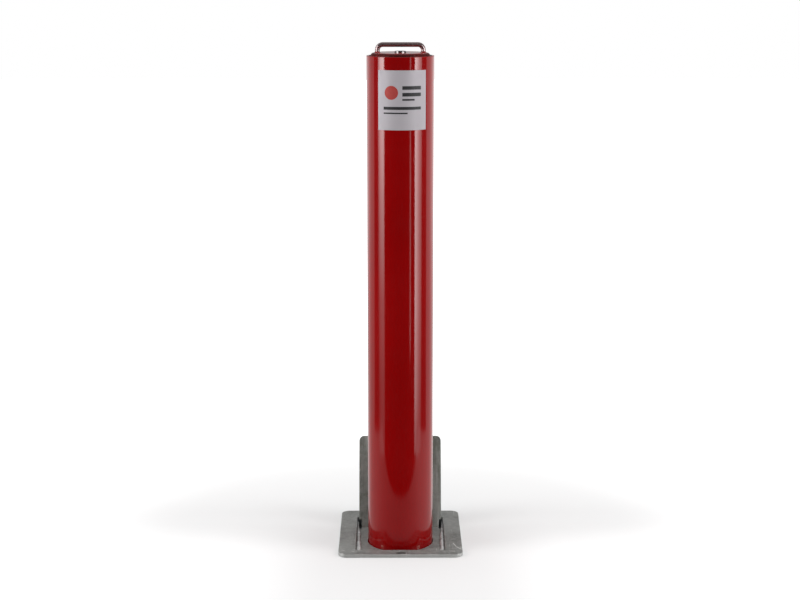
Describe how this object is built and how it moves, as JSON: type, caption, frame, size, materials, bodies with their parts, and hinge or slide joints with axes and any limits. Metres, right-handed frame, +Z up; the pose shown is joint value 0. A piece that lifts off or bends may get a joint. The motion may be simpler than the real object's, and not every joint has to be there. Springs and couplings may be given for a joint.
{
  "type": "removable bollard",
  "caption": "Round lift-out steel bollard with a bow handle and key lock on top, standing in an in-ground socket with a recessed frame plate and a hinged lid open behind it.",
  "frame": {"origin": "on the post's axis at ground level, which is the underside of the frame plate", "axes": "+Z up along the post, +X to the right, +Y to the back, where the lid stands open"},
  "size_m": [0.217, 0.225, 1.171],
  "materials": {
    "plate_steel": "bare mill steel, dull, stained",
    "weld_metal": "bright weld bead",
    "galvanised_steel": "galvanised, dull",
    "lid_steel": "bare mill steel, darker and stained",
    "bright_steel": "bright bar",
    "red_paint": "glossy dark red coating",
    "lock_chrome": "polished lock metal",
    "label_film": "silver-grey film with plain printed shapes"
  },
  "bodies": {
    "ground_socket": {"frame_plate": "plate_steel", "seat_plate": "plate_steel", "recess_welds": "weld_metal", "socket_tube": "galvanised_steel", "socket_floor": "galvanised_steel", "keeper_plate": "galvanised_steel", "anchor_bars": "galvanised_steel", "lid_trough": "galvanised_steel", "hinge_arms": "plate_steel", "hinge_pin": "bright_steel", "hinge_nut": "bright_steel"},
    "lid": {"lid_plate": "lid_steel", "lid_lugs": "lid_steel"},
    "post": {"post_tube": "red_paint", "top_cap": "red_paint", "rod_guides": "red_paint", "foot_plate": "red_paint", "label": "label_film", "lift_handle": "bright_steel", "handle_nuts": "bright_steel", "lock_housing": "lock_chrome", "lock_nut": "lock_chrome"},
    "lock_bolt": {"lock_plug": "lock_chrome", "rod_coupling": "bright_steel", "lock_rod": "bright_steel", "cross_head": "bright_steel"}
  },
  "joints": [
    {"name": "post_lift", "type": "slide", "parent": "ground_socket", "child": "post", "axis": [0, 0, 1], "range_m": [0, 0.3]},
    {"name": "lid_hinge", "type": "hinge", "parent": "ground_socket", "child": "lid", "pos_m": [0, 0.0837, 0.0135], "axis": [1, 0, 0], "range_deg": [0, 22.5]},
    {"name": "lock_turn", "type": "hinge", "parent": "post", "child": "lock_bolt", "pos_m": [0, 0, 0.85], "axis": [0, 0, 1], "range_deg": [0, 90]}
  ]
}
